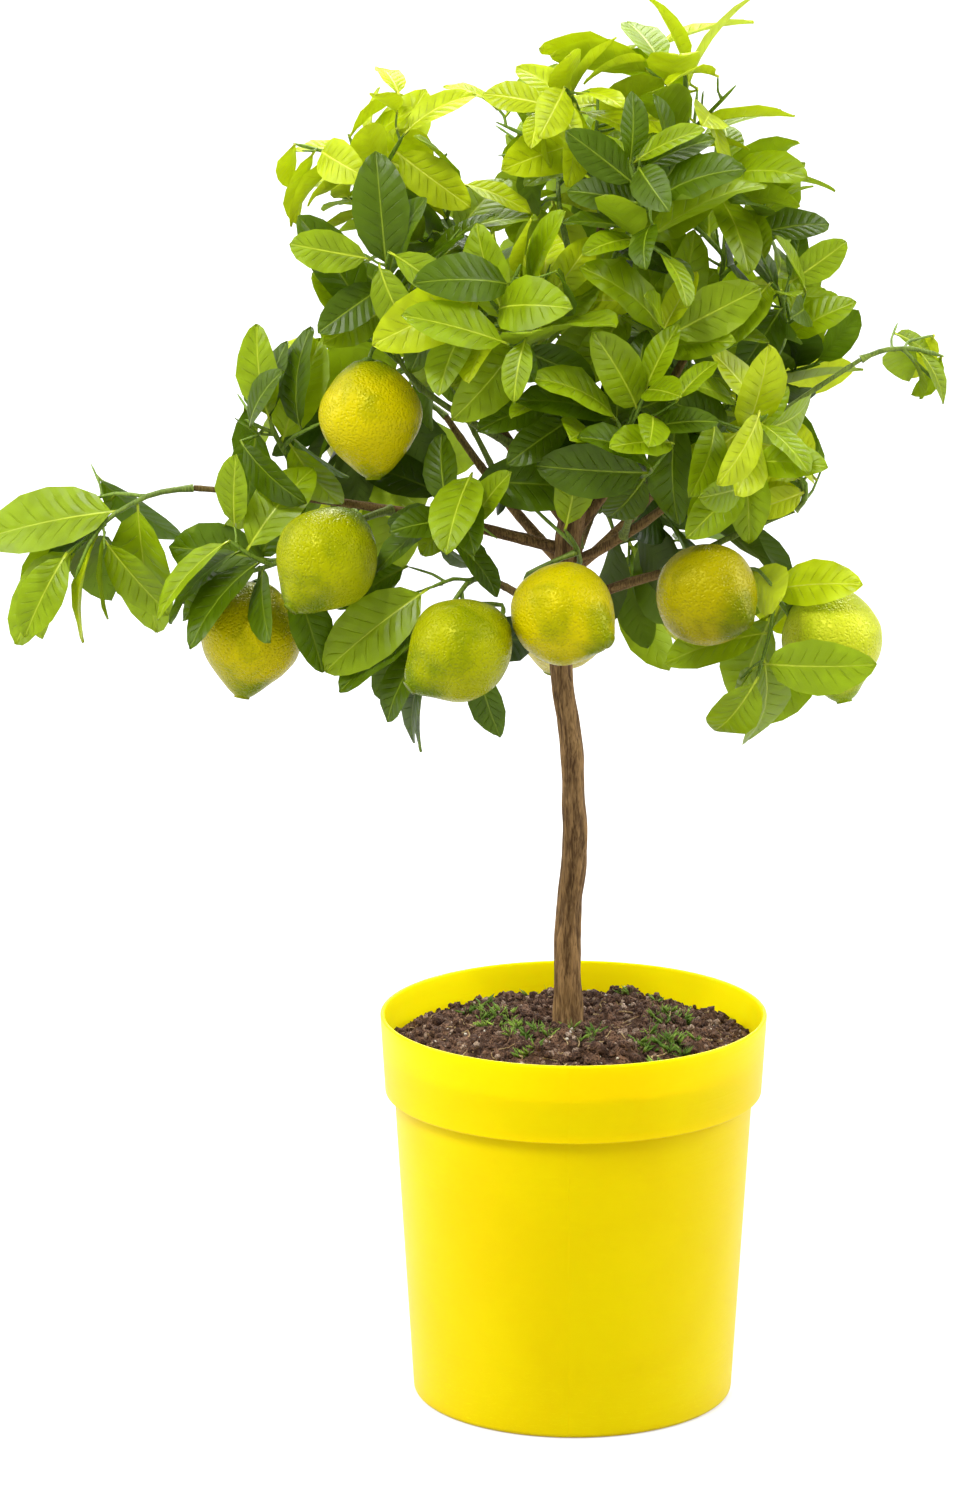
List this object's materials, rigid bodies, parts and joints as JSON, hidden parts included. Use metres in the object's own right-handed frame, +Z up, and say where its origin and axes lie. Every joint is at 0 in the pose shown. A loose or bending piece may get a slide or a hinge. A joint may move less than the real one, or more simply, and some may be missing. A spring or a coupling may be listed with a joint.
{
  "type": "potted lemon tree",
  "caption": "Small grafted lemon tree with a wandering bare trunk, a loose round crown and hanging fruit, in a round plastic pot with a wide collar.",
  "frame": {"origin": "centre of the pot's flat underside, which stands on the floor", "axes": "+Z up along the pot's axis, -Y towards the side the picture shows, +X to its right"},
  "size_m": [0.6077, 0.3471, 0.9149],
  "materials": {
    "pot": "smooth satin gloss",
    "soil": "rough crumbs",
    "bark": "dull ridged bark",
    "greenwood": "smooth young wood",
    "foliage": "waxy leaves"
  },
  "bodies": {
    "root": {"pot": "pot", "soil": "soil", "trunk": "bark", "bough_leader": "bark", "bough_left_rising": "bark", "bough_right_rising": "bark", "bough_left": "bark", "bough_right": "bark", "bough_back_left": "bark", "bough_back_right": "bark", "bough_back": "bark", "bough_right_low": "bark", "bough_front_left": "bark", "bough_top_right": "greenwood", "bough_back_top": "greenwood", "bough_front_upper": "greenwood", "bough_front_centre": "greenwood", "bough_left_heart": "greenwood", "bough_left_inner": "greenwood", "bough_right_heart": "greenwood", "bough_right_outer": "greenwood", "bough_right_end": "greenwood", "bough_right_side": "greenwood", "bough_centre": "greenwood", "bough_front_low": "greenwood", "bough_centre_left": "greenwood", "bough_left_low": "greenwood", "bough_left_high": "greenwood", "bough_back_centre": "greenwood", "bough_left_back": "greenwood", "bough_right_back": "greenwood", "foliage_top": "foliage", "foliage_top_right": "foliage", "foliage_back_top": "foliage", "foliage_front_upper": "foliage", "foliage_upper_left": "foliage", "foliage_left_heart": "foliage", "foliage_left_inner": "foliage", "foliage_front_centre": "foliage", "foliage_right_upper": "foliage", "foliage_right_heart": "foliage", "foliage_right_outer": "foliage", "foliage_right_end": "foliage", "foliage_right_middle": "foliage", "foliage_right_side": "foliage", "foliage_right_low": "foliage", "foliage_centre": "foliage", "foliage_front_low": "foliage", "foliage_front_left_low": "foliage", "foliage_centre_left": "foliage", "foliage_left_low": "foliage", "foliage_left_high": "foliage", "foliage_far_left": "foliage", "foliage_back_low": "foliage", "foliage_back_left": "foliage", "foliage_back_right": "foliage", "foliage_back_centre": "foliage", "foliage_left_back": "foliage", "foliage_right_back": "foliage"}
  },
  "joints": []
}
